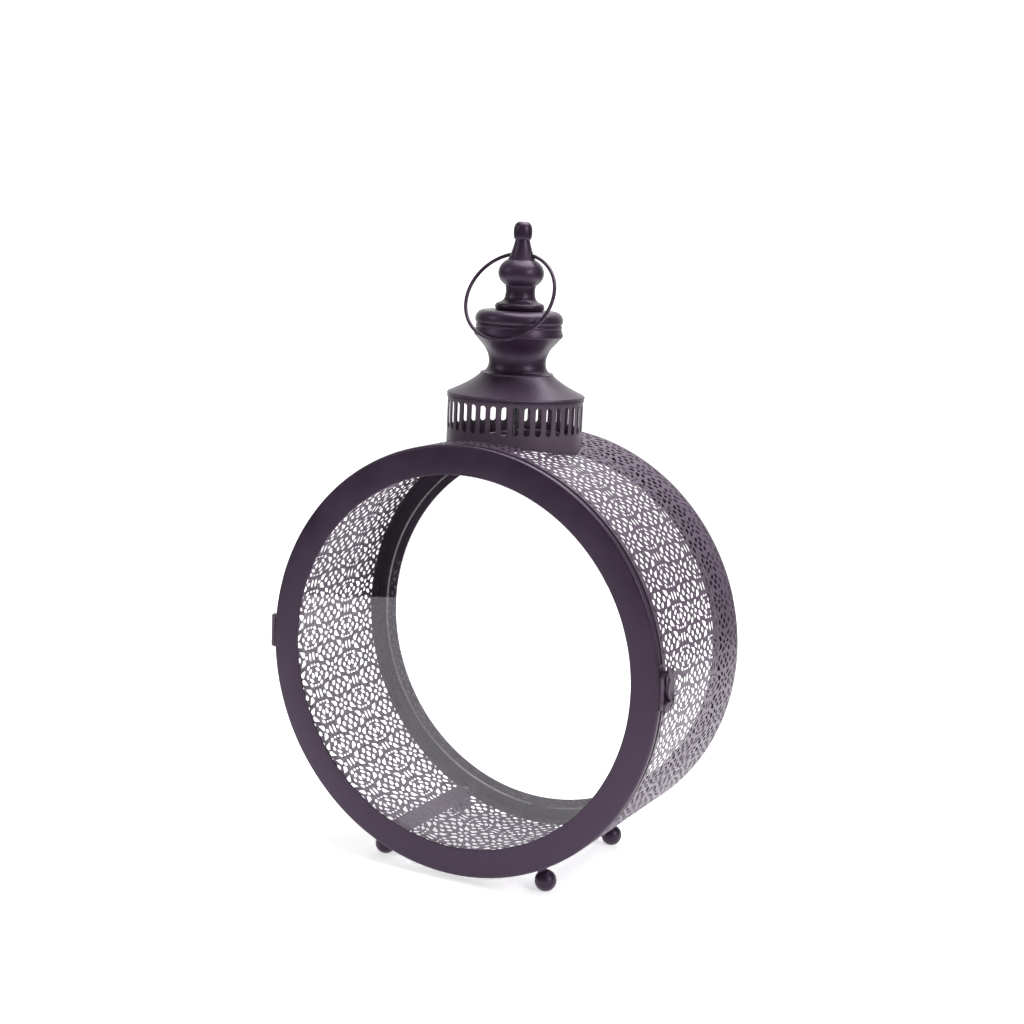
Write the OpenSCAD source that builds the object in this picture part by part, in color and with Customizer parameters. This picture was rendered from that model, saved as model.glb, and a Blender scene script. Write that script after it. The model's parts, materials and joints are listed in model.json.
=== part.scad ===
// Round lantern: a pierced drum on ball feet with a glazed, hinged door, a slotted
// chimney with a spun cap and a turned finial that carries a wire ring.
// The drum lies on its side: its axis is Y, the door faces -Y, and Z = 0 is the floor.

/* [Drum] */
// Outside radius of the drum and of the door
drum_r = 180; // [170:1:190]
// Depth of the lantern, from the door's face to the rear edge
depth = 171; // [160:1:190]
// Radius of the rear pane's opening
rear_opening_r = 159; // [150:1:161]
// How far the rear plate stands in from the rear edge
rear_inset = 4; // [3:1:8]

/* [Door] */
// Radius of the door's opening
door_opening_r = 155.5; // [145:0.5:160]
// Depth of the door's rim
door_rim = 7; // [7:0.5:10]
// Radius of both panes
pane_r = 166.5; // [165:0.5:168]
// Thickness of both panes
pane_t = 3; // [2:0.5:3]
// Thickness of the clip rings' wire
clip_wire = 2; // [1.5:0.1:2]

/* [Feet] */
// Angle of each foot from straight down
foot_angle = 23.6; // [18:0.1:30]
// Radius of the ball feet
foot_r = 9.1; // [8:0.1:12]
// Width of the straps that carry the feet
rail_w = 17; // [14:1:24]

/* [Chimney] */
// Outside radius of the slotted collar
band_r = 56.8; // [50:0.1:60]
// Number of slots round the collar
slot_count = 38; // [24:1:40]
// Width of a slot
slot_w = 5; // [3:0.1:5]
// Height of a slot
slot_h = 23.3; // [15:0.1:24]
// Radius of the vent hole in the top of the drum
vent_r = 48; // [40:1:50]

/* [Carry ring] */
// Radius of the ring to the middle of its wire
ring_r = 39.6; // [39.6:0.1:42]
// Thickness of the ring's wire
ring_wire = 3; // [2.5:0.1:3]
// Lean of the resting ring from straight down
ring_lean = 28.6; // [28.6:0.1:32]

/* [Hardware] */
// Height of the hinge
hinge_h = 27; // [24:1:34]
// Radius of the hinge's knuckles
knuckle_r = 3; // [3:0.1:3.4]
// Height of the latch's pivot above the drum's axis
latch_z = -2; // [-3:0.1:0]

/* [Hidden] */
$fn = 96;

paint = "#453847";
sheet_paint = "#5c5160";
glass_tint = "#c9dcd6";
steel = "#8d8b90";

sheet = 0.4;      // rolled sheet of the drum, hoop and chimney
plate = 1;        // pressed plate of the door and the rear ring
nest_gap = 0.15;  // gap between curved sheets that lie on each other
eps = 0.02;       // keeps flat heads off the curved faces they sit on
cut = 1;          // how far cutting bodies run past what they cut

front = -depth / 2;
back = depth / 2;
door_back = front + door_rim;
drum_front = door_back + 1;
drum_in = drum_r - sheet;
lining_r = drum_in - nest_gap;
flange_in = lining_r - plate;  // inside of the rear plate's flange

// Feet: the axis height follows from the balls, which are cut flat where they stand
rail_in = drum_r + nest_gap;
rail_t = 1.2;
rail_out = rail_in + rail_t;
foot_neck = 2.8;
foot_c = rail_out + foot_neck + foot_r;
foot_flat = 0.3;
axis_h = foot_c * cos(foot_angle) + foot_r - foot_flat;
foot_y_front = front + 28;
foot_y_rear = back - 12.5;
rail_y0 = front + 13;
rail_y1 = back - 3;
screw_r = 2;
screw_play = 0.05;

// Chimney and finial heights, above the drum's axis
band_top = 214.5;
skirt_low = 211.8;
slot_low = 186.4;
slot_turn = 4.7;
brim_z = 215.6;
ledge_z = 233.2;
groove_z = 274.2;
cap_top = 285;
base_top = 297;
ball_z = 315.8;
spire_z = 326.6;
eye_z = 331.2;
top_z = 357.9;
spun = 0.9;       // wall of the spun roof and vase

rod_r = 2;
rod_hole = 2.15;
rod_low = 170;
rod_high = 321;
bar_w = 14;
bar_t = 1.3;

// The ring's wire is curved where it lies in the eye, so it sits this far above the axis
wire_rise = 0.6;
eye_r = 2.3;

// Hinge
hinge_x = -(drum_r + 4.2);
hinge_y = (door_back + drum_front) / 2;
pin_r = 1.2;
knuckle_play = 0.4;
mid_knuckle = hinge_h * 0.46;
leaf_in = drum_r + nest_gap;
leaf_out = leaf_in + 1.15;
leaf_clear = 1.8;  // the leaves' edges stay this far from the pin's plane

// Latch, in the plane X = latch_x on the right-hand side
latch_x = drum_r + 3.4;
latch_t = 1.6;
latch_y = front + 18.3;
keeper_y = front + 3.5;
keeper_z = 22;
keeper_r = 1.6;

// ---- helpers ----

// A quadratic curve from a to c that bends towards b
function bend(a, b, c, n = 8) = [for (i = [0 : n])
    let (t = i / n) (1 - t) * (1 - t) * a + 2 * t * (1 - t) * b + t * t * c];

// An arc round centre c, with separate half-axes for a flattened ball
function bow(c, rx, rz, a0, a1, n = 10) = [for (i = [0 : n])
    let (a = a0 + (a1 - a0) * i / n) [c.x + rx * cos(a), c.y + rz * sin(a)]];

function reversed(list) = [for (i = [len(list) - 1 : -1 : 0]) list[i]];

// The wall between an outline and the same outline moved by shift
function wall(outline, shift) = concat(outline, [for (p = reversed(outline)) p + shift]);

// Turns a profile of [radius, y] about the drum's axis
module about_drum() {
    translate([0, 0, axis_h]) rotate([-90, 0, 0]) rotate_extrude() children();
}

// Turns a profile of [radius, height above the drum's axis] about the vertical axis
module about_chimney() {
    translate([0, 0, axis_h]) rotate_extrude() children();
}

// Places a child at polar angle a from +X, with +X pointing outwards
module at_polar(a, y) {
    translate([0, y, axis_h]) rotate([0, -a, 0]) children();
}

// A pin along the radial direction from radius r0 to r1
module radial_pin(a, y, r0, r1, r) {
    at_polar(a, y) translate([r0, 0, 0]) rotate([0, 90, 0]) cylinder(r = r, h = r1 - r0);
}

// A rivet through sheets between radii r0 and r1: tail inside, domed head outside
module radial_rivet(a, y, r0, r1) {
    at_polar(a, y) rotate([0, 90, 0]) rotate_extrude($fn = 32) polygon(concat(
        [[0, r0 - 0.8], [1.9, r0 - 0.8], [1.9, r0 - eps], [1.2, r0 - eps], [1.2, r1]],
        bend([2.2, r1], [2, r1 + 0.9], [0, r1 + 1], 5)));
}

// A curved strap on the drum: a slice of tube, w wide round the drum
module strap(a, w, r0, r1, y0, y1) {
    intersection() {
        about_drum() translate([r0, y0]) square([r1 - r0, y1 - y0]);
        at_polar(a, 0) translate([r0 - 10, y0 - cut, -w / 2]) cube([20, y1 - y0 + 2 * cut, w]);
    }
}

// ---- drum ----

hinge_rivet_a = [for (s = [-1, 1]) 180 + s * 2.9];
hinge_rivet_y = drum_front + 9;
latch_rivet_a = [-2.8, 5.2];
latch_rivet_y = latch_y + 5;
foot_sides = [-1, 1];

module foot_holes(r) {
    for (side = foot_sides, y = [foot_y_front, foot_y_rear])
        radial_pin(-90 + side * foot_angle, y, drum_in - 5, rail_out + 5, r);
}

module latch_axis_pin(x0, x1, r) {
    translate([x0, latch_y, axis_h + latch_z]) rotate([0, 90, 0]) cylinder(r = r, h = x1 - x0);
}

module drum_band() color(sheet_paint) {
    hem_r = 1.2;
    difference() {
        union() {
            about_drum() translate([drum_in, drum_front]) square([sheet, back - hem_r - drum_front]);
            about_drum() translate([drum_r - hem_r, back - hem_r]) circle(r = hem_r, $fn = 24);
        }
        translate([0, 0, axis_h]) cylinder(r = vent_r, h = drum_r + cut);
        foot_holes(screw_r + screw_play);
        for (a = hinge_rivet_a) radial_pin(a, hinge_rivet_y, drum_in - cut, drum_r + cut, 1.25);
        for (a = latch_rivet_a) radial_pin(a, latch_rivet_y, drum_in - cut, drum_r + cut, 1.25);
        latch_axis_pin(drum_in - 5, drum_r + 5, 1.55);
    }
}

module front_hoop() color(paint) {
    lip_in = pane_r + 1.5;
    hoop_d = 7;
    about_drum() polygon([
        [lip_in, drum_front], [lining_r, drum_front], [lining_r, drum_front + hoop_d],
        [lining_r - sheet, drum_front + hoop_d], [lining_r - sheet, drum_front + sheet],
        [lip_in, drum_front + sheet]]);
}

module rear_ring() color(paint) {
    plate_back = back - rear_inset;
    plate_front = plate_back - plate;
    flange_front = plate_front - 11;
    difference() {
        about_drum() polygon([
            [rear_opening_r, plate_front], [flange_in, plate_front],
            [flange_in, flange_front], [lining_r, flange_front],
            [lining_r, plate_back], [rear_opening_r, plate_back]]);
        foot_holes(screw_r + screw_play);
    }
}

rear_pane_back = back - rear_inset - plate;

module pane(y) {
    about_drum() translate([0, y]) square([pane_r, pane_t]);
}

// A wire ring with a gap at the bottom, its wire's middle at y
module clip_ring(y, gap_angle) {
    difference() {
        about_drum() translate([pane_r - 0.5, y]) circle(d = clip_wire, $fn = 24);
        at_polar(-90 + gap_angle, y) translate([pane_r - 10, -5, -8]) cube([20, 10, 16]);
    }
}

module rear_glass() color(glass_tint, 0.4) pane(rear_pane_back - pane_t);
module rear_glass_clip() color(steel) clip_ring(rear_pane_back - pane_t - clip_wire / 2, 1);

// ---- feet ----

module foot_rail(side) {
    a = -90 + side * foot_angle;
    difference() {
        strap(a, rail_w, rail_in, rail_out, rail_y0, rail_y1);
        foot_holes(screw_r + screw_play);
    }
}

// The right-hand foot; the left-hand one is its mirror image
module foot(y) {
    a = -90 + foot_angle;
    neck_r = 4.2;
    bore_end = foot_c + 2;
    difference() {
        union() {
            at_polar(a, y) translate([foot_c, 0, 0]) sphere(r = foot_r);
            radial_pin(a, y, rail_out + eps, foot_c - foot_r / 2, neck_r);
        }
        radial_pin(a, y, rail_out - cut, bore_end, screw_r + screw_play);
        translate([foot_c * sin(foot_angle) - 10, y - 10, -20]) cube([20, 20, 20]);
    }
}

// The front screws' heads lie on the drum's skin, and the rear ones' on the rear plate's flange
module foot_screws() color(steel)
    for (side = foot_sides, end = [[foot_y_front, drum_in], [foot_y_rear, flange_in]])
        at_polar(-90 + side * foot_angle, end[0]) rotate([0, 90, 0]) rotate_extrude($fn = 32)
            let (seat = end[1] - 0.06, head_top = seat - 2.3) polygon(concat(
                [[screw_r, seat], [screw_r, foot_c + 1], [0, foot_c + 1]],
                bend([0, head_top], [3, head_top], [3.4, seat], 5)));

// ---- chimney ----

module slot_cutter() {
    translate([band_r - 3, -slot_w / 2, slot_low + slot_w / 2]) cube([6, slot_w, slot_h - slot_w]);
    for (z = [slot_low + slot_w / 2, slot_low + slot_h - slot_w / 2])
        translate([band_r - 3, 0, z]) rotate([0, 90, 0]) cylinder(d = slot_w, h = 6, $fn = 24);
}

module chimney_band() color(paint) {
    foot_z = 165;
    difference() {
        about_chimney() translate([band_r - sheet, foot_z]) square([sheet, band_top - foot_z]);
        translate([0, -band_r - cut, axis_h]) rotate([-90, 0, 0])
            cylinder(r = drum_r + nest_gap, h = 2 * (band_r + cut), $fn = 180);
        for (i = [0 : slot_count - 1])
            translate([0, 0, axis_h]) rotate([0, 0, i * 360 / slot_count + slot_turn]) slot_cutter();
    }
}

module chimney_roof() color(paint) {
    skirt_in = band_r + nest_gap;
    skirt_out = skirt_in + 0.5;
    top_r = 27;
    slope = bend([skirt_out - 0.6, brim_z + 0.6], [38, 224.5], [30.4, ledge_z - 0.9]);
    about_chimney() polygon(concat(
        [[skirt_in, skirt_low], [skirt_out, skirt_low], [skirt_out, brim_z - 1.4]],
        bow([skirt_out - 0.35, brim_z - 0.6], 0.7, 0.8, -60, 90, 5),
        slope,
        [[top_r, ledge_z - 0.9], [top_r, ledge_z - 0.9 - spun]],
        [for (p = reversed(slope)) [p.x - 0.7, p.y - spun]],
        [[skirt_in, brim_z - 1.2]]));
}

module vase_body() color(paint) {
    flange_r = 30.5;
    waist_r = 23.8;
    foot_flare = bend([flange_r, ledge_z + 0.1], [waist_r + 0.2, ledge_z + 1], [waist_r, ledge_z + 9]);
    bowl = concat(
        bend([waist_r + 0.05, ledge_z + 9.6], [waist_r + 0.4, 249.5], [28.5, 255]),
        [[35.6, 262.9]],
        bow([35.9, 265.6], 1.2, 2.2, -80, 50, 6),
        bow([35.1, 272.3], 0.9, 1.4, -60, 60, 5),
        [[35, groove_z]]);
    about_chimney() polygon(concat(
        [[waist_r, ledge_z - 0.9], [flange_r, ledge_z - 0.9]], foot_flare, bowl,
        [for (p = reversed(bowl)) [p.x - spun - 0.3, p.y]]));
}

module vase_cap() color(paint) {
    dome_r = 7.4;
    dome = concat([[35, groove_z]], bow([29.2, cap_top - dome_r], dome_r, dome_r, -22, 90));
    about_chimney() polygon(concat(
        dome, [[rod_hole, cap_top], [rod_hole, cap_top - spun]],
        [for (p = reversed(dome)) [p.x - (p.y < cap_top - 1 ? spun : 0.2), min(p.y, cap_top - spun)]]));
}

// ---- finial ----

module finial_base() color(paint) about_chimney() polygon(concat(
    [[rod_hole, cap_top], [18.9, cap_top]],
    bow([18.2, cap_top + 3.1], 2.4, 3, -70, 70),
    bend([17.4, cap_top + 6.6], [13.4, cap_top + 7.6], [12.6, base_top]),
    [[rod_hole, base_top]]));

module finial_top() color(paint) {
    ball_r = 19;
    ball_h = 13.8;
    bore_r = rod_r + screw_play;
    knob_r = 7.8;
    difference() {
        about_chimney() polygon(concat(
            [[0, base_top], [12.6, base_top]],
            bend([12.6, base_top + 0.1], [11.6, base_top + 4], [12.8, ball_z - 10.1], 6),
            bow([0, ball_z], ball_r, ball_h, -47, 50, 16),
            bend([11.5, spire_z], [8, 334], [6.1, top_z - 15]),
            bend([6.3, top_z - 14.8], [knob_r - 0.1, top_z - 14], [knob_r, top_z - 9], 5),
            bend([knob_r, top_z - 8], [knob_r, top_z - 0.8], [3, top_z], 8),
            [[0, top_z]]));
        translate([0, 0, axis_h + base_top - cut]) cylinder(r = bore_r, h = rod_high + 2 - base_top + cut);
        translate([-15, 0, axis_h + eye_z]) rotate([0, 90, 0]) cylinder(r = eye_r, h = 30);
    }
}

module tie_rod() color(steel)
    translate([0, 0, axis_h + rod_low]) cylinder(r = rod_r, h = rod_high - rod_low);

module bridge_bar() color(steel) difference() {
    bar_l = 2 * (vent_r + 9);
    intersection() {
        about_drum() translate([lining_r - bar_t, -bar_w / 2]) square([bar_t, bar_w]);
        translate([-bar_l / 2, -bar_w, axis_h]) cube([bar_l, 2 * bar_w, drum_r]);
    }
    translate([0, 0, axis_h]) cylinder(r = rod_hole, h = drum_r);
}

module tie_nut() color(steel) {
    nut_h = 3.2;
    washer_t = 1;
    washer_top = lining_r - bar_t - 0.1;
    difference() {
        translate([0, 0, axis_h + washer_top - washer_t]) {
            cylinder(r = 5, h = washer_t);
            translate([0, 0, -nut_h]) cylinder(d = 8.1, h = nut_h, $fn = 6);
        }
        translate([0, 0, axis_h + rod_low - 5]) cylinder(r = rod_r + screw_play, h = 20);
    }
}

// ---- hinge ----

module hinge_post(z0, z1) {
    translate([hinge_x, hinge_y, axis_h + z0]) cylinder(r = knuckle_r, h = z1 - z0, $fn = 32);
}

// A leaf on the drum's skin and the web that joins it to one knuckle
module hinge_leaf(y0, y1, knuckles) {
    web_y = (y0 + y1) / 2 > hinge_y ? hinge_y + 1.6 : hinge_y - 2.8;
    pin_bore = pin_r + screw_play;
    difference() {
        union() {
            strap(180, hinge_h - 2, leaf_in, leaf_out, y0, y1);
            for (k = knuckles) {
                hinge_post(k[0], k[1]);
                translate([hinge_x, web_y, axis_h + k[0]])
                    cube([-hinge_x - leaf_in - 0.35, 1.2, k[1] - k[0]]);
            }
        }
        translate([hinge_x, hinge_y, 0]) cylinder(r = pin_bore, h = 2 * axis_h);
        children();
    }
}

module hinge_leaf_body() color(paint)
    hinge_leaf(hinge_y + leaf_clear, hinge_y + 16,
        [[-hinge_h / 2, -mid_knuckle / 2 - knuckle_play], [mid_knuckle / 2 + knuckle_play, hinge_h / 2]])
        for (a = hinge_rivet_a) radial_pin(a, hinge_rivet_y, leaf_in - cut, leaf_out + cut, 1.25);

module hinge_leaf_door() color(paint)
    hinge_leaf(front + 0.6, hinge_y - leaf_clear, [[-mid_knuckle / 2, mid_knuckle / 2]])
        for (a = hinge_rivet_a) radial_pin(a, front + 3.2, leaf_in - cut, leaf_out + cut, 1.25);

module hinge_pin() color(steel) {
    head_h = 1;
    translate([hinge_x, hinge_y, axis_h - hinge_h / 2 - head_h]) cylinder(r = pin_r, h = hinge_h + 2 * head_h);
    for (z = [-hinge_h / 2 - head_h, hinge_h / 2])
        translate([hinge_x, hinge_y, axis_h + z]) cylinder(r = 1.9, h = head_h);
}

module hinge_rivets_body() color(paint)
    for (a = hinge_rivet_a) radial_rivet(a, hinge_rivet_y, drum_in, leaf_out);

module hinge_rivets_door() color(paint)
    for (a = hinge_rivet_a) radial_rivet(a, front + 3.2, drum_r - plate, leaf_out);

// ---- latch ----

module latch_bracket() color(paint) difference() {
    union() {
        strap(1.2, 34, leaf_in, leaf_out, latch_y - 7, latch_y + 9);
        intersection() {
            latch_axis_pin(leaf_in, latch_x - 0.3, 3.4);
            about_drum() translate([leaf_in, latch_y - 10]) square([20, 20]);
        }
    }
    latch_axis_pin(drum_in, latch_x + 5, 1.55);
    for (a = latch_rivet_a) radial_pin(a, latch_rivet_y, leaf_in - cut, leaf_out + cut, 1.25);
}

module latch_rivets() color(paint)
    for (a = latch_rivet_a) radial_rivet(a, latch_rivet_y, drum_in, leaf_out);

module latch_pivot() color(steel) {
    latch_axis_pin(drum_in - 1.4, latch_x + latch_t + 0.3, 1.5);
    latch_axis_pin(drum_in - 1.4, drum_in - 0.6, 2.6);
    latch_axis_pin(latch_x + latch_t + 0.3, latch_x + latch_t + 1.3, 2.6);
}

module latch_keeper() color(paint) {
    strap(3, 36, leaf_in, leaf_out, front + 1, front + 6.2);
    translate([leaf_out - 2.5, keeper_y, axis_h + keeper_z]) rotate([0, 90, 0])
        cylinder(r = keeper_r, h = latch_x + latch_t + 0.9 - leaf_out + 2.5, $fn = 32);
    translate([latch_x + latch_t + 0.4, keeper_y, axis_h + keeper_z]) rotate([0, 90, 0])
        cylinder(r = keeper_r + 0.9, h = 1.1, $fn = 32);
}

// A flat strip bent on radius r round centre c, from angle a0 to a1, with a knob at each angle in knobs
module bent_strip(c, r, w, a0, a1, knobs = []) {
    far = 2 * (r + w);
    translate(c) {
        intersection() {
            difference() {
                circle(r = r + w / 2);
                circle(r = r - w / 2);
            }
            polygon(concat([[0, 0]], [for (i = [0 : 3])
                let (a = a0 + (a1 - a0) * i / 3) [far * cos(a), far * sin(a)]]));
        }
        for (a = knobs) rotate(a) translate([r, 0]) circle(d = w + 0.4, $fn = 24);
    }
}

// The hook's outline: X is the row's Y, and Y the height above the drum's axis.
// Its claw is open to the front, so that it springs off the keeper's stud.
module hook_outline() {
    keeper = [keeper_y, keeper_z];
    pivot = [latch_y, latch_z];
    strip_w = 3;
    loop_r = 10.5;
    loop_c = pivot + [0, loop_r];
    finger_r = 55;
    finger_c = loop_c + loop_r * [cos(86), sin(86)] - finger_r * [cos(80), sin(80)];
    tail_r = 40;
    claw_w = 2.2;
    claw_r = keeper_r + 0.4 + claw_w / 2;
    bent_strip(keeper, claw_r, claw_w, -50, 96);
    bent_strip(loop_c, loop_r, strip_w, 80, 262);
    bent_strip(finger_c, finger_r, strip_w - 0.4, 60, 80, [60]);
    bent_strip(pivot - [2, tail_r + 1.5], tail_r, strip_w, 90, 110, [110]);
    translate(pivot) circle(r = 4.2);
    arm_from = loop_c + loop_r * [cos(135), sin(135)];
    arm_to = keeper + claw_r * [cos(-36), sin(-36)];
    arm_w = 1.3 * [cos(45), sin(45)];
    polygon([arm_from - arm_w, arm_from + arm_w, arm_to + arm_w, arm_to - arm_w]);
}

module latch_hook() color(paint) difference() {
    translate([latch_x, 0, axis_h]) rotate([90, 0, 90]) linear_extrude(latch_t) hook_outline();
    latch_axis_pin(latch_x - cut, latch_x + latch_t + cut, 1.5 + screw_play);
}

// ---- door ----

module door_ring() color(paint) difference() {
    edge = 1;
    about_drum() polygon(concat(
        [[door_opening_r, front + plate], [door_opening_r, front]],
        bow([drum_r - edge, front + edge], edge, edge, -90, 0, 5),
        [[drum_r, door_back], [drum_r - plate, door_back], [drum_r - plate, front + plate]]));
    for (a = hinge_rivet_a) radial_pin(a, front + 3.2, drum_r - plate - cut, drum_r + cut, 1.25);
}

module door_glass() color(glass_tint, 0.4) pane(front + plate);
module door_glass_clip() color(steel) clip_ring(front + plate + pane_t + clip_wire / 2, -1);

// ---- carry ring ----

module carry_ring() color(paint)
    translate([0, 0, axis_h + eye_z]) rotate([-ring_lean, 0, 0])
        translate([0, 0, wire_rise - ring_r]) rotate([90, 0, 0])
            rotate_extrude() translate([ring_r, 0]) circle(d = ring_wire, $fn = 24);

drum_band();
front_hoop();
rear_ring();
rear_glass();
rear_glass_clip();
color(paint) foot_rail(-1);  // foot_rail_left
color(paint) foot_rail(1);  // foot_rail_right
color(paint) mirror([1, 0, 0]) foot(foot_y_front);  // foot_front_left
color(paint) foot(foot_y_front);  // foot_front_right
color(paint) mirror([1, 0, 0]) foot(foot_y_rear);  // foot_rear_left
color(paint) foot(foot_y_rear);  // foot_rear_right
foot_screws();
chimney_band();
chimney_roof();
vase_body();
vase_cap();
finial_base();
finial_top();
tie_rod();
bridge_bar();
tie_nut();
hinge_leaf_body();
hinge_pin();
hinge_rivets_body();
latch_bracket();
latch_rivets();
latch_pivot();
door_ring();
door_glass();
door_glass_clip();
hinge_leaf_door();
hinge_rivets_door();
latch_keeper();
latch_hook();
carry_ring();
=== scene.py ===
"""A round pierced metal lantern with a glazed door, a slotted chimney and a turned finial.

Metres, in the part's frame: the drum's axis lies along Y, the door faces -Y and the floor is Z = 0.
"""
import json
import math

import bpy
import numpy as np
from mathutils import Matrix, Vector
from mathutils.geometry import delaunay_2d_cdt


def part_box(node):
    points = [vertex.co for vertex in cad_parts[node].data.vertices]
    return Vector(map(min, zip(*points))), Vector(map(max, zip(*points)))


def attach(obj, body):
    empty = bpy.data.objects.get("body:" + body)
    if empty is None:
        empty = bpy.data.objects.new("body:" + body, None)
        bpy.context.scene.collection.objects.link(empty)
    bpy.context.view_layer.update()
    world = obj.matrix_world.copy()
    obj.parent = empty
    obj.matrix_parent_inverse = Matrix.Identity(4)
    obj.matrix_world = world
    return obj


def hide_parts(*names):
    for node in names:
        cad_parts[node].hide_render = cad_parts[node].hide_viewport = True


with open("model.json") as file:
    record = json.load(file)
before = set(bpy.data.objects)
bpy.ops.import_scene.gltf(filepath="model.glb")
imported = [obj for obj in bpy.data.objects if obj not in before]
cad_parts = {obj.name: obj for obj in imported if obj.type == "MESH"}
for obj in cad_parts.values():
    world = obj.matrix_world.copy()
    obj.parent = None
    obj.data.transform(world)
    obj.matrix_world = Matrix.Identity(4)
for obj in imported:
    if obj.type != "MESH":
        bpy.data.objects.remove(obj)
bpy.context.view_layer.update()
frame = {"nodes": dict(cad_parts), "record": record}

MM = 0.001
NODES = frame["nodes"]

# ---- sizes: the drum's and the door's come from the frame ----

DRUM_LOW, DRUM_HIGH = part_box("drum_band")
DOOR_LOW, DOOR_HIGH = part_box("door_ring")
DRUM_R = (DRUM_HIGH.x - DRUM_LOW.x) / 2
AXIS_H = (DOOR_LOW.z + DOOR_HIGH.z) / 2
FRONT = DOOR_LOW.y
SHEET = 0.4 * MM        # thickness of the pierced sheet
VENT_R = 48 * MM
VENT_BORDER = 6 * MM
HEM_R = 1.2 * MM


# ---- small mesh tools ----

def new_object(name, verts, faces, smooth_angle=35):
    mesh = bpy.data.meshes.new(name)
    mesh.from_pydata([tuple(v) for v in verts], [], [tuple(int(i) for i in f) for f in faces])
    mesh.validate()
    mesh.shade_smooth()
    mesh.set_sharp_from_angle(angle=math.radians(smooth_angle))
    obj = bpy.data.objects.new(name, mesh)
    bpy.context.scene.collection.objects.link(obj)
    return obj


def round_the_drum(points, steps=256):
    """Turns a closed profile of (radius, y) about the drum's axis. Returns verts and faces."""
    count = len(points)
    verts = []
    for i in range(steps):
        a = math.tau * i / steps
        verts += [(r * math.cos(a), y, AXIS_H + r * math.sin(a)) for r, y in points]
    faces = []
    for i in range(steps):
        j = (i + 1) % steps
        for k in range(count):
            n = (k + 1) % count
            faces.append((i * count + k, i * count + n, j * count + n, j * count + k))
    return verts, faces


def join_meshes(*parts):
    """Puts several (verts, faces) pairs into one pair."""
    verts, faces = [], []
    for part_verts, part_faces in parts:
        start = len(verts)
        verts += list(part_verts)
        faces += [tuple(i + start for i in f) for f in part_faces]
    return verts, faces


# ---- the pierced sheet ----
# The pattern repeats along the drum's depth and round it, and is its own mirror image about each
# line through the middle of a rosette. So one quarter of it is drawn, in millimetres: u runs along
# the depth from the rosette's middle, v runs round the drum.

ROWS = 34
ROW_HALF = math.pi * DRUM_R / MM / ROWS     # half a row's height
ROW_TURN = 10.718                           # degrees from row to row, away from the top
EVEN_ROWS = 13                              # rows that are so far apart, on each side of the lowest
PATTERN_TURN = 9.91                         # degrees from straight down to the lowest row
PATTERN_HALF = 29.25                        # half a pattern's length along the depth
ROSETTE_AT = 54.4                           # depth of the first whole rosette
PIERCED_FROM, PIERCED_TO = 9.8, 166.2       # depths between which there are holes
SHEET_FROM, SHEET_TO = 8.0, 169.4           # depths of the sheet's edges
LEAF_POWER = 2.6                            # how blunt a leaf's sides are
LEAN = 0.019 * MM / DRUM_R                  # slant of the lowest rows, in radians per millimetre
COLUMNS = range(-2, 5)                      # patterns along the depth, more than enough to cover it
EDGE_STEPS = 8                              # steps along the sheet's edge in half a row
INSIDE_ONLY = 1                             # the triangulation keeps only what is inside the outline
NEARNESS = 1e-5                             # distance at which the triangulation joins points
MICROMETRES = 1e6
WELD = 5                                    # size in micrometres within which points become one


def oval(u, v, width, height, steps=14):
    return [(u + width / 2 * math.cos(a), v + height / 2 * math.sin(a))
            for a in (math.tau * i / steps for i in range(steps))]


def turned(outline, u, v, degrees):
    c, s = math.cos(math.radians(degrees)), math.sin(math.radians(degrees))
    return [(u + x * c - y * s, v + x * s + y * c) for x, y in outline]


def leaf(u, v, length, width, degrees=0, steps=6):
    """A hole with two narrow ends."""
    side = [-1 + 2 * i / steps for i in range(steps + 1)]
    lower = [(t * length / 2, -width / 2 * (1 - abs(t) ** LEAF_POWER)) for t in side]
    upper = [(t * length / 2, width / 2 * (1 - abs(t) ** LEAF_POWER)) for t in reversed(side[1:-1])]
    return turned(lower + upper, u, v, degrees)


def drop(u, v, length, width, degrees, steps=9):
    """A hole that is round at one end and comes to a point towards the given direction."""
    r = width / 2
    centre = -length / 2 + r
    tip = (length / 2, 0)
    reach = math.acos(r / (length - r))
    arc = [(centre + r * math.cos(a), r * math.sin(a))
           for a in (reach + (math.tau - 2 * reach) * i / steps for i in range(steps + 1))]
    return turned([tip] + arc, u, v, degrees)


def quarter_of_holes():
    """The holes of one quarter. Those that lie across a mirror line are drawn whole."""
    edge = ROW_HALF
    return [
        oval(2.6, 0, 3.1, 7.9),
        leaf(8.2, 0, 4.7, 3.3),
        oval(19.1, 0, 4.6, 4.6),
        oval(PATTERN_HALF, 0, 5.1, 5.1),
        leaf(25.1, 4.4, 6.1, 3.7, 34),
        drop(14.1, 4.6, 8.9, 5, 34),
        drop(16.2, 12.5, 8.9, 4.7, 214),
        leaf(22.8, 10.2, 6.9, 3.3, 35),
        leaf(7.6, 8.9, 5.2, 3.2, 34),
        leaf(2.3, 7.7, 3.7, 1.8),
        leaf(5.75, 12.6, 6.7, 3, 28),
        oval(2.6, edge, 4.1, 4.8),
        oval(10.75, edge, 3.9, 3.9),
        oval(PATTERN_HALF, 12.7, 3.5, 3.8),
        leaf(25.3, edge, 5.2, 3.2),
    ]


def clipped(outline, axis, limit, keep_below):
    """The part of a convex outline on one side of the line where the axis equals limit."""
    result = []
    sign = 1 if keep_below else -1
    for p, q in zip(outline, outline[1:] + outline[:1]):
        p_in = sign * (limit - p[axis]) >= 0
        q_in = sign * (limit - q[axis]) >= 0
        if p_in:
            result.append(p)
        if p_in != q_in:
            t = (limit - p[axis]) / (q[axis] - p[axis])
            cut = [p[i] + t * (q[i] - p[i]) for i in (0, 1)]
            cut[axis] = limit
            result.append(tuple(cut))
    return result


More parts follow.
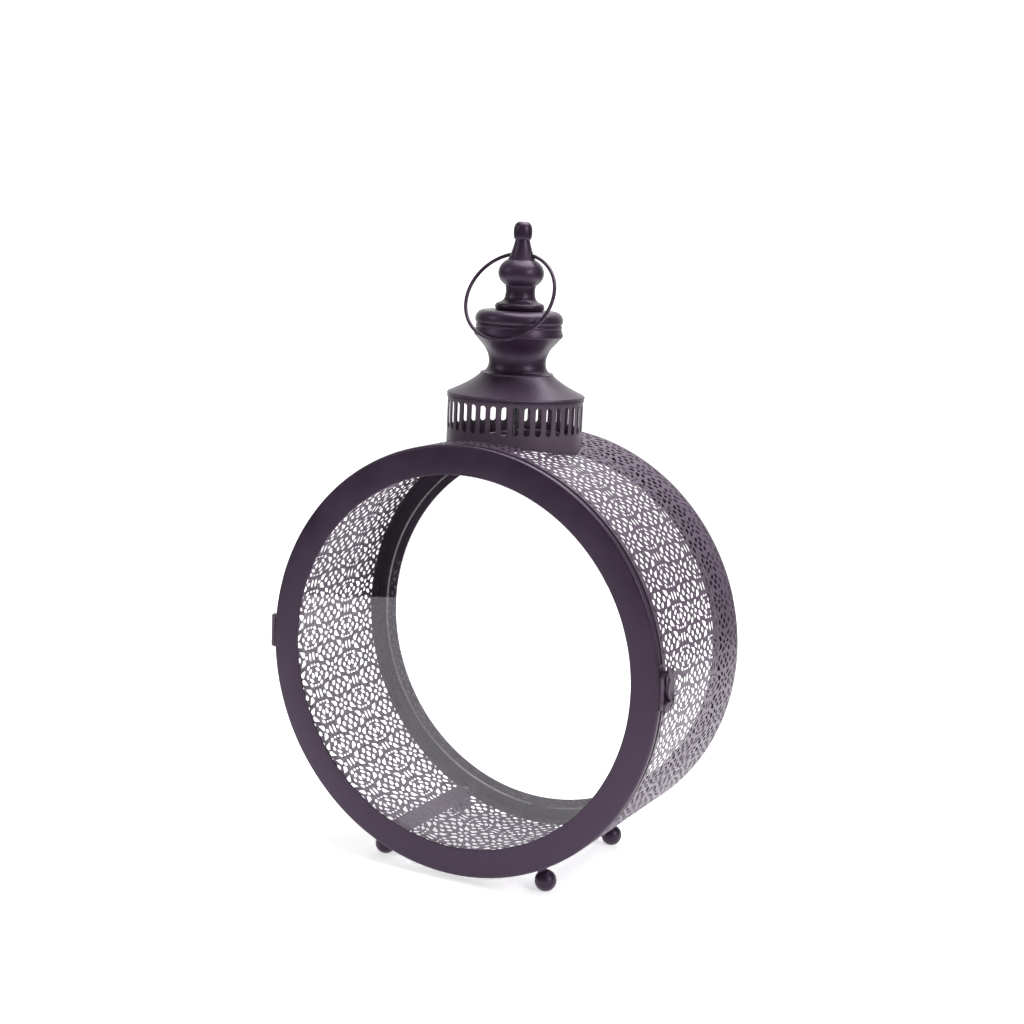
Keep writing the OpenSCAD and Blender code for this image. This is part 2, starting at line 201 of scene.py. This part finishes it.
def half_row_of_holes():
    """All the holes between the middle of a row and its edge, along the whole depth."""
    limits = ((0, PIERCED_FROM, False), (0, PIERCED_TO, True), (1, 0, False), (1, ROW_HALF, True))
    holes = []
    for outline in quarter_of_holes():
        middle = (outline[0][0] + outline[len(outline) // 2][0]) / 2
        sides = (1,) if math.isclose(middle, PATTERN_HALF) else (1, -1)
        for column in COLUMNS:
            rosette = ROSETTE_AT + column * 2 * PATTERN_HALF
            for side in sides:
                hole = [(rosette + side * u, v) for u, v in outline][::side]
                for axis, limit, keep_below in limits:
                    hole = clipped(hole, axis, limit, keep_below)
                if len(hole) > 2:
                    holes.append(hole)
    return holes


def half_row_sheet():
    """Half a row of the sheet with its holes, laid flat, as points and triangles."""
    heights = [ROW_HALF * i / EDGE_STEPS for i in range(EDGE_STEPS + 1)]
    outline = [(SHEET_FROM, 0)] + [(SHEET_TO, v) for v in heights]
    outline += [(SHEET_FROM, v) for v in reversed(heights[1:])]
    points, loops = [], []
    for loop in [outline] + half_row_of_holes():
        loops.append(list(range(len(points), len(points) + len(loop))))
        points += [Vector(p) for p in loop]
    made = delaunay_2d_cdt(points, [], loops, INSIDE_ONLY, NEARNESS, True)
    flat, triangles, sources = made[0], made[2], made[5]
    solid = [tri for tri, source in zip(triangles, sources) if source == [0]]
    return np.array([tuple(p) for p in flat]), np.array(solid)


def row_direction(row):
    """Where a row lies, from straight down. The rows are squeezed a little together at the top."""
    even = EVEN_ROWS * ROW_TURN
    turn = np.interp(row, [-ROWS / 2, -EVEN_ROWS, EVEN_ROWS, ROWS / 2], [-180, -even, even, 180])
    return np.radians(PATTERN_TURN + turn)


def all_rows():
    """The whole sheet: points of (y, angle from straight down in radians), and triangles.

    Rows lean most on the side towards +X and not at all on the other."""
    half, half_tris = half_row_sheet()
    row = np.vstack([half, half * [1, -1]])
    row_tris = np.vstack([half_tris, half_tris[:, ::-1] + len(half)])
    points, tris = [], []
    for k in range(ROWS):
        angle = row_direction(k - (ROWS - 1) / 2 + row[:, 1] / (2 * ROW_HALF))
        angle = angle + LEAN * (1 - np.sin(angle)) * (row[:, 0] - ROSETTE_AT)
        points.append(np.column_stack([row[:, 0] * MM + FRONT, angle % math.tau]))
        tris.append(row_tris + k * len(row))
    return np.vstack(points), np.vstack(tris)


def welded(points, tris):
    """Makes points that share a place into one, and drops the triangles that vanish."""
    places = np.round(points * [1, DRUM_R] * MICROMETRES).astype(np.int64)
    places[:, 1] %= int(round(math.tau * DRUM_R * MICROMETRES))
    cells = (places + WELD // 2) // WELD
    _, first, index = np.unique(cells, axis=0, return_index=True, return_inverse=True)
    tris = index.reshape(-1)[tris]
    a, b, c = tris.T
    return points[first], tris[(a != b) & (b != c) & (a != c)]


def outside_vent(points, tris):
    """Drops the triangles over the vent in the drum's top, which is open under the chimney."""
    depth, angle = np.moveaxis(points[tris], 2, 0)
    near_top = np.cos(angle[:, 0]) < 0
    from_middle = np.hypot(DRUM_R * np.sin(angle), depth).min(axis=1)
    return tris[~(near_top & (from_middle < VENT_R + VENT_BORDER / 2))]


def rolled_shell(points, tris):
    """Rolls the sheet up, with an outer and an inner skin and a wall along every free edge."""
    count = len(points)
    depth, angle = points.T
    skins = [np.column_stack([-r * np.sin(angle), depth, AXIS_H - r * np.cos(angle)])
             for r in (DRUM_R, DRUM_R - SHEET)]
    edges = np.vstack([tris[:, [0, 1]], tris[:, [1, 2]], tris[:, [2, 0]]]).astype(np.int64)
    one_way, other_way = edges @ [count, 1], edges @ [1, count]
    free_edges = edges[~np.isin(one_way, other_way)]
    walls = [(a, a + count, b + count, b) for a, b in free_edges.tolist()]
    return np.vstack(skins), tris.tolist() + (tris[:, ::-1] + count).tolist() + walls


def pierced_sheet():
    points, tris = welded(*all_rows())
    return rolled_shell(points, outside_vent(points, tris))


def vent_border(steps=160):
    """The plain edge of the vent, a thin ring that follows the drum's curve."""
    verts = []
    for i in range(steps):
        a = math.tau * i / steps
        for r in (VENT_R, VENT_R + VENT_BORDER):
            for drum_r in (DRUM_R - SHEET, DRUM_R - 2 * SHEET):
                x, y = r * math.cos(a), r * math.sin(a)
                verts.append((x, y, AXIS_H + math.sqrt(drum_r ** 2 - x ** 2)))
    faces = []
    for i in range(steps):
        here, there = 4 * i, 4 * ((i + 1) % steps)
        for k, n in ((0, 1), (1, 3), (3, 2), (2, 0)):
            faces.append((here + k, here + n, there + n, there + k))
    return verts, faces


def rear_hem(steps=12):
    """The drum's rear edge, rolled inwards round a wire."""
    back_edge = DRUM_HIGH.y
    circle = [(DRUM_R - HEM_R + HEM_R * math.cos(a), back_edge - HEM_R + HEM_R * math.sin(a))
              for a in (math.tau * i / steps for i in range(steps))]
    return round_the_drum(circle)


def make_drum():
    return new_object("drum_sheet", *join_meshes(pierced_sheet(), vent_border()))


# ---- the door's pressed ring, in millimetres ----

DOOR_INNER_R = 155.5
DOOR_OUTER_R = DRUM_R / MM
DOOR_PLATE = 1.0
DOOR_EDGE_R = 2.6       # rounding of the outer edge
INNER_EDGE_R = 0.6      # rounding of the inner edge
GROOVE_FROM = 4.4       # depth at which the groove behind the edge begins
GROOVE_DEEP = 2.6
GROOVE_R = DOOR_OUTER_R - GROOVE_DEEP
GROOVE_EDGE = 0.3
DOOR_RIM = 7.0


def quarter_turn(r, y, radius, start, steps=6):
    """Points on a quarter circle round (r, y), from the start angle in quarter turns onwards."""
    return [(r + radius * math.cos(a), y + radius * math.sin(a))
            for a in (math.pi / 2 * (start + i / steps) for i in range(steps + 1))]


def make_door_ring():
    """A flat ring with a rounded outer edge and a groove behind it, where it meets the drum."""
    profile = [(DOOR_INNER_R, DOOR_PLATE)]
    profile += quarter_turn(DOOR_INNER_R + INNER_EDGE_R, INNER_EDGE_R, INNER_EDGE_R, 2)
    profile += quarter_turn(DOOR_OUTER_R - DOOR_EDGE_R, DOOR_EDGE_R, DOOR_EDGE_R, 3)
    profile += [(DOOR_OUTER_R, GROOVE_FROM - GROOVE_EDGE), (DOOR_OUTER_R - GROOVE_EDGE, GROOVE_FROM),
                (GROOVE_R, GROOVE_FROM), (GROOVE_R, DOOR_RIM), (GROOVE_R - DOOR_PLATE, DOOR_RIM),
                (GROOVE_R - DOOR_PLATE, DOOR_PLATE)]
    verts, faces = round_the_drum([(r * MM, FRONT + y * MM) for r, y in profile])
    return new_object("door_face", verts, faces)


# ---- materials ----

def node_material(name):
    material = bpy.data.materials.new(name)
    material.use_nodes = True
    nodes, links = material.node_tree.nodes, material.node_tree.links
    nodes.clear()
    out = nodes.new("ShaderNodeOutputMaterial")
    return material, nodes, links, out


def noise(nodes, links, coords, scale, detail=3, roughness=0.5):
    n = nodes.new("ShaderNodeTexNoise")
    n.inputs["Scale"].default_value = scale
    n.inputs["Detail"].default_value = detail
    n.inputs["Roughness"].default_value = roughness
    links.new(coords, n.inputs["Vector"])
    return n.outputs["Fac"]


def ramp(nodes, links, value, places, colors):
    """A colour that turns from the first into the second between two places of the value."""
    r = nodes.new("ShaderNodeValToRGB")
    for element, place, color in zip(r.color_ramp.elements, places, colors):
        element.position = place
        element.color = (*color, 1)
    links.new(value, r.inputs["Fac"])
    return r.outputs["Color"]


def mapped(nodes, links, value, low, high, to_low, to_high):
    m = nodes.new("ShaderNodeMapRange")
    for key, number in (("From Min", low), ("From Max", high), ("To Min", to_low), ("To Max", to_high)):
        m.inputs[key].default_value = number
    links.new(value, m.inputs["Value"])
    return m.outputs["Result"]


SHINE_TINT = (0.86, 0.68, 0.95, 1)
CLOUD_SCALE, PEEL_SCALE = 24, 900
CLOUD_RANGE = (0.3, 0.75)               # the part of the cloudy noise that the colours spread over
SMOOTHER, ROUGHER = 0.05, 0.08          # how far the roughness strays from the paint's own
RUBBED_FROM, RUBBED_TO = 0.53, 0.6      # pointiness where rubbing starts and is strongest
RUBBED = 0.55                           # how far the paint turns into the rubbed colour
PEEL_STRENGTH = 0.12
PEEL_HEIGHT = 0.4 * MM


def painted_metal(name, deep, light, rub, rough, shine=0.5):
    """Dark paint: cloudy colour, fine orange-peel bump and rubbed edges."""
    material, nodes, links, out = node_material(name)
    coords = nodes.new("ShaderNodeTexCoord").outputs["Object"]
    shader = nodes.new("ShaderNodeBsdfPrincipled")
    cloud = noise(nodes, links, coords, CLOUD_SCALE, detail=4, roughness=0.6)
    peel = noise(nodes, links, coords, PEEL_SCALE, detail=2)
    color = ramp(nodes, links, cloud, CLOUD_RANGE, (deep, light))
    pointed = nodes.new("ShaderNodeNewGeometry").outputs["Pointiness"]
    mix = nodes.new("ShaderNodeMix")
    mix.data_type = "RGBA"
    mix.inputs["B"].default_value = (*rub, 1)
    links.new(color, mix.inputs["A"])
    links.new(mapped(nodes, links, pointed, RUBBED_FROM, RUBBED_TO, 0, RUBBED), mix.inputs["Factor"])
    links.new(mix.outputs["Result"], shader.inputs["Base Color"])
    roughness = mapped(nodes, links, cloud, *CLOUD_RANGE, rough - SMOOTHER, rough + ROUGHER)
    links.new(roughness, shader.inputs["Roughness"])
    bump = nodes.new("ShaderNodeBump")
    bump.inputs["Strength"].default_value = PEEL_STRENGTH
    bump.inputs["Distance"].default_value = PEEL_HEIGHT
    links.new(peel, bump.inputs["Height"])
    links.new(bump.outputs["Normal"], shader.inputs["Normal"])
    shader.inputs["Specular IOR Level"].default_value = shine
    shader.inputs["Specular Tint"].default_value = SHINE_TINT
    links.new(shader.outputs["BSDF"], out.inputs["Surface"])
    return material


STEEL_DARK = (0.16, 0.155, 0.165)
STEEL_LIGHT = (0.34, 0.33, 0.34)
STEEL_ROUGH = (0.28, 0.42)
GRAIN_SCALE = 400
GRAIN_RANGE = (0.3, 0.8)


def plain_steel(name):
    """Bare steel with a fine grain."""
    material, nodes, links, out = node_material(name)
    coords = nodes.new("ShaderNodeTexCoord").outputs["Object"]
    shader = nodes.new("ShaderNodeBsdfPrincipled")
    grain = noise(nodes, links, coords, GRAIN_SCALE, detail=5, roughness=0.6)
    color = ramp(nodes, links, grain, GRAIN_RANGE, (STEEL_DARK, STEEL_LIGHT))
    links.new(color, shader.inputs["Base Color"])
    links.new(mapped(nodes, links, grain, *GRAIN_RANGE, *STEEL_ROUGH), shader.inputs["Roughness"])
    shader.inputs["Metallic"].default_value = 1
    links.new(shader.outputs["BSDF"], out.inputs["Surface"])
    return material


GLASS_IOR = 1.45
GLASS_CLEAR = (0.985, 0.98, 0.986, 1)
GLASS_SHINE = (0.96, 0.93, 1, 1)
SMEAR_SCALE = 7
SMEAR_RANGE = (0.4, 0.8)
SMEAR_ROUGH = (0, 0.05)


def pane_glass(name):
    """Clear pane: nearly all light passes, and a faint reflection rises towards grazing angles."""
    material, nodes, links, out = node_material(name)
    coords = nodes.new("ShaderNodeTexCoord").outputs["Object"]
    clear = nodes.new("ShaderNodeBsdfTransparent")
    clear.inputs["Color"].default_value = GLASS_CLEAR
    shine = nodes.new("ShaderNodeBsdfGlossy")
    shine.inputs["Color"].default_value = GLASS_SHINE
    smear = noise(nodes, links, coords, SMEAR_SCALE)
    links.new(mapped(nodes, links, smear, *SMEAR_RANGE, *SMEAR_ROUGH), shine.inputs["Roughness"])
    # Nothing bends in this pane, so its inner faces must reflect as little as its outer ones.
    fresnel = nodes.new("ShaderNodeFresnel")
    inside = nodes.new("ShaderNodeNewGeometry").outputs["Backfacing"]
    links.new(mapped(nodes, links, inside, 0, 1, GLASS_IOR, 1 / GLASS_IOR), fresnel.inputs["IOR"])
    mix = nodes.new("ShaderNodeMixShader")
    links.new(fresnel.outputs["Fac"], mix.inputs["Fac"])
    links.new(clear.outputs["BSDF"], mix.inputs[1])
    links.new(shine.outputs["BSDF"], mix.inputs[2])
    links.new(mix.outputs["Shader"], out.inputs["Surface"])
    return material


DARK_PAINT = painted_metal("dark_paint", rough=0.38,
                           deep=(0.017, 0.008, 0.018), light=(0.028, 0.0155, 0.031), rub=(0.13, 0.10, 0.13))
SHEET_PAINT = painted_metal("sheet_paint", rough=0.4,
                            deep=(0.052, 0.034, 0.055), light=(0.084, 0.06, 0.088), rub=(0.19, 0.15, 0.19))
# Darker, less shiny paint for the latch. On the rear hem the same dark colour is painted shade: a dark line
# along the drum's rear edge.
CAST_PAINT_AND_SHADE = painted_metal("cast_paint_and_painted_shade", rough=0.5, shine=0.25,
                           deep=(0.007, 0.003, 0.008), light=(0.014, 0.007, 0.016), rub=(0.11, 0.08, 0.11))
STEEL = plain_steel("plain_steel")
GLASS = pane_glass("clear_glass")
MATERIALS = {
    "sheet_paint": SHEET_PAINT,
    "dark_paint": DARK_PAINT,
    "plain_steel": STEEL,
    "clear_glass": GLASS,
}


def paint(obj, material):
    obj.data.materials.clear()
    obj.data.materials.append(material)


# ---- the object ----

for subpart in frame["record"]["subparts"]:
    paint(NODES[subpart["node"]], MATERIALS[subpart["material_slot"]])

for node in ("latch_hook", "latch_bracket", "latch_keeper"):
    paint(NODES[node], CAST_PAINT_AND_SHADE)

drum = make_drum()
paint(drum, SHEET_PAINT)
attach(drum, "lantern_body")
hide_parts("drum_band")

hem = new_object("rear_hem", *rear_hem())
# Painted shade: the rolled rear edge gets the darkest paint so that it shows as a dark line.
paint(hem, CAST_PAINT_AND_SHADE)
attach(hem, "lantern_body")

door_face = make_door_ring()
paint(door_face, DARK_PAINT)
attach(door_face, "door")
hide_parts("door_ring")


# ---- stage, light and camera ----

FLOOR_R = 1.15
FLOOR_STEPS = 96
FLOOR_GLOW = 0.6


def floor_material():
    material, nodes, links, out = node_material("studio_floor")
    shader = nodes.new("ShaderNodeBsdfPrincipled")
    shader.inputs["Base Color"].default_value = (0.9, 0.9, 0.9, 1)
    shader.inputs["Roughness"].default_value = 0.9
    shader.inputs["Emission Color"].default_value = (1, 1, 1, 1)
    shader.inputs["Emission Strength"].default_value = FLOOR_GLOW
    links.new(shader.outputs["BSDF"], out.inputs["Surface"])
    return material


def make_floor():
    around = [math.tau * i / FLOOR_STEPS for i in range(FLOOR_STEPS)]
    verts = [(FLOOR_R * math.cos(a), FLOOR_R * math.sin(a), 0) for a in around]
    return new_object("floor", verts, [range(FLOOR_STEPS)])


floor = make_floor()
paint(floor, floor_material())


def area_light(name, place, aim, size, power):
    data = bpy.data.lights.new(name, "AREA")
    data.shape = "DISK"
    data.size = size
    data.energy = power
    light = bpy.data.objects.new(name, data)
    light.location = place
    light.rotation_euler = (Vector(aim) - Vector(place)).to_track_quat("-Z", "Y").to_euler()
    bpy.context.scene.collection.objects.link(light)


area_light("top_light", place=(0.2, 0.5, 2.4), aim=(0, 0.1, 0), size=2.2, power=95)
area_light("key_light", place=(-1.9, -1.7, 1.5), aim=(0, 0, 0.3), size=0.9, power=11)
area_light("side_light", place=(2.2, -0.6, 1.3), aim=(0, 0, 0.3), size=0.9, power=24)

ROOM_SEEN = 1.35                    # brightness behind the object
ROOM_LIGHT = 0.33                   # soft light that falls on everything
ROOM_MIRRORED = 0.12                # brightness of the room in reflections
BACKDROP_MIRRORED = 1.3             # brightness of the backdrop in reflections
BACKDROP_WAY = (-0.46, 0.88, 0.1)
BACKDROP_EDGE, BACKDROP_FULL = 0.5, 0.95    # cosines of the angle from the backdrop's middle


def make_world():
    """White behind the object, soft light from all round, and a dim room in the reflections."""
    world = bpy.data.worlds.new("studio")
    world.use_nodes = True
    nodes, links = world.node_tree.nodes, world.node_tree.links
    room = nodes["Background"]
    room.inputs["Color"].default_value = (1, 1, 1, 1)
    path = nodes.new("ShaderNodeLightPath").outputs
    towards = nodes.new("ShaderNodeVectorMath")
    towards.operation = "DOT_PRODUCT"
    links.new(nodes.new("ShaderNodeTexCoord").outputs["Generated"], towards.inputs[0])
    towards.inputs[1].default_value = BACKDROP_WAY
    mirrored = mapped(nodes, links, towards.outputs["Value"], BACKDROP_EDGE, BACKDROP_FULL,
                      ROOM_MIRRORED, BACKDROP_MIRRORED)
    blend = nodes.new("ShaderNodeMix")
    links.new(path["Is Glossy Ray"], blend.inputs["Factor"])
    blend.inputs["A"].default_value = ROOM_LIGHT
    links.new(mirrored, blend.inputs["B"])
    strength = nodes.new("ShaderNodeMath")
    strength.operation = "MAXIMUM"
    links.new(blend.outputs["Result"], strength.inputs[0])
    links.new(mapped(nodes, links, path["Is Camera Ray"], 0, 1, 0, ROOM_SEEN), strength.inputs[1])
    links.new(strength.outputs["Value"], room.inputs["Strength"])
    bpy.context.scene.world = world


make_world()
bpy.context.scene.view_settings.view_transform = "Standard"


CAMERA_PLACE = Vector((0.67883, -1.30709, AXIS_H + 0.36491))
CAMERA_TURN = (-27.401, -9.627, 2.535)      # yaw, pitch and roll in degrees
CAMERA_LENS = 62.03
CAMERA_SENSOR = 36


def make_camera():
    yaw, pitch, roll = (math.radians(a) for a in CAMERA_TURN)
    ahead = Vector((math.sin(yaw) * math.cos(pitch), math.cos(yaw) * math.cos(pitch), math.sin(pitch)))
    level = Vector((math.cos(yaw), -math.sin(yaw), 0))
    rise = level.cross(ahead)
    right = math.cos(roll) * level + math.sin(roll) * rise
    up = math.cos(roll) * rise - math.sin(roll) * level
    data = bpy.data.cameras.new("camera")
    data.lens = CAMERA_LENS
    data.sensor_width = CAMERA_SENSOR
    camera = bpy.data.objects.new("camera", data)
    axes = Matrix((right, up, -ahead)).transposed().to_4x4()
    camera.matrix_world = Matrix.Translation(CAMERA_PLACE) @ axes
    bpy.context.scene.collection.objects.link(camera)
    bpy.context.scene.camera = camera


make_camera()
